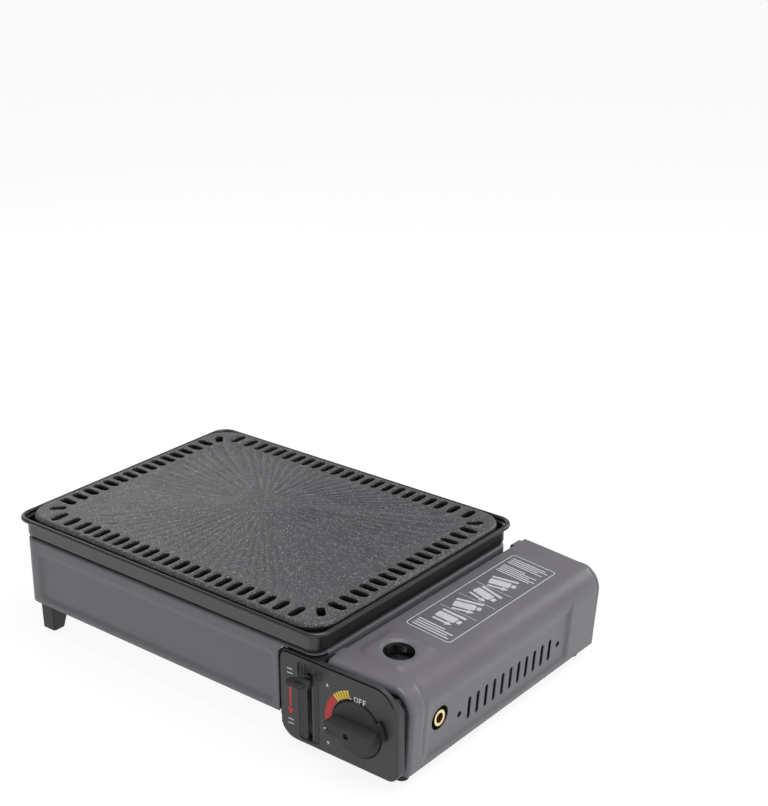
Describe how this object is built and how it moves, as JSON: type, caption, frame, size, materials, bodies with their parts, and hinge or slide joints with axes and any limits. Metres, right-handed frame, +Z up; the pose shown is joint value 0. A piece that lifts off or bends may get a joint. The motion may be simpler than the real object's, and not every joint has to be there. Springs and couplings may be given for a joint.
{
  "type": "portable butane grill",
  "caption": "Portable butane gas grill: grey steel burner box with a hinged cartridge bay, control panel with knob and lock lever, grease tray and slotted grill plate on top.",
  "frame": {"origin": "middle of the whole part's box at rest, on the table that it stands on", "axes": "+X towards the cartridge bay, +Y towards the back, +Z up; the control panel faces -Y"},
  "size_m": [0.4564, 0.3105, 0.133],
  "materials": {
    "body_paint": "satin grey paint on pressed steel",
    "zinc_steel": "zinc plated sheet",
    "black_plastic": "fine grained black moulding",
    "knob_plastic": "smooth black moulding",
    "foot_rubber": "matt",
    "brass": "turned",
    "white_plastic": "glazed",
    "cast_aluminium": "die cast",
    "burner_iron": "rough cast",
    "bright_steel": "bright rolled",
    "igniter_plastic": "smooth",
    "wire_rubber": "smooth insulation",
    "black_enamel": "black enamel",
    "plate_coating": "dark speckled non-stick coating on cast aluminium"
  },
  "bodies": {
    "base": {"body_shell": "body_paint", "base_plate": "zinc_steel", "bay_shell": "body_paint", "bay_front": "body_paint", "bay_rear": "body_paint", "heat_shield": "zinc_steel", "front_left_leg": "black_plastic", "rear_left_leg": "black_plastic", "front_right_foot": "foot_rubber", "rear_right_foot": "foot_rubber", "leg_screws": "zinc_steel", "control_panel": "black_plastic", "panel_screws": "zinc_steel", "lever_pivot": "zinc_steel", "yoke_guide": "zinc_steel", "regulator_body": "cast_aluminium", "regulator_cap": "black_plastic", "cartridge_socket": "cast_aluminium", "socket_seal": "foot_rubber", "gas_valve_body": "cast_aluminium", "hose_inlet": "brass", "injector_nozzle": "brass", "mixing_tube": "zinc_steel", "burner_head": "cast_aluminium", "burner_cap": "burner_iron", "burner_bracket": "zinc_steel", "reflector": "bright_steel", "piezo_igniter": "igniter_plastic", "ignition_wire": "wire_rubber", "spark_electrode": "bright_steel", "electrode_insulator": "white_plastic", "hinge_pins": "zinc_steel"},
    "lid": {"cartridge_lid": "body_paint"},
    "knob": {"control_knob": "knob_plastic", "valve_spindle": "brass", "igniter_cam": "white_plastic"},
    "lever": {"lock_lever": "zinc_steel", "lever_tab": "knob_plastic"},
    "yoke": {"cartridge_yoke": "zinc_steel"},
    "tray": {"grease_tray": "black_enamel"},
    "plate": {"grill_plate": "plate_coating", "plate_feet": "cast_aluminium"}
  },
  "joints": [
    {"name": "lid_hinge", "type": "hinge", "parent": "base", "child": "lid", "pos_m": [0.14567, 0.01525, 0.0912], "axis": [0, -1, 0], "range_deg": [0, 70]},
    {"name": "knob_turn", "type": "hinge", "parent": "base", "child": "knob", "pos_m": [0.18177, -0.13975, 0.046], "axis": [0, -1, 0], "range_deg": [0, 120]},
    {"name": "lever_press", "type": "hinge", "parent": "base", "child": "lever", "pos_m": [0.13067, -0.08925, 0.046], "axis": [1, 0, 0], "range_deg": [0, 54]},
    {"name": "yoke_slide", "type": "slide", "parent": "base", "child": "yoke", "axis": [0, -1, 0], "range_m": [0, 0.0082]},
    {"name": "tray_lift", "type": "slide", "parent": "base", "child": "tray", "axis": [0, 0, 1], "range_m": [0, 0.12]},
    {"name": "plate_lift", "type": "slide", "parent": "tray", "child": "plate", "axis": [0, 0, 1], "range_m": [0, 0.06]}
  ],
  "couplings": [
    {"joint": "yoke_slide", "follows": "lever_press", "m_per_rad": 0.0086706}
  ]
}
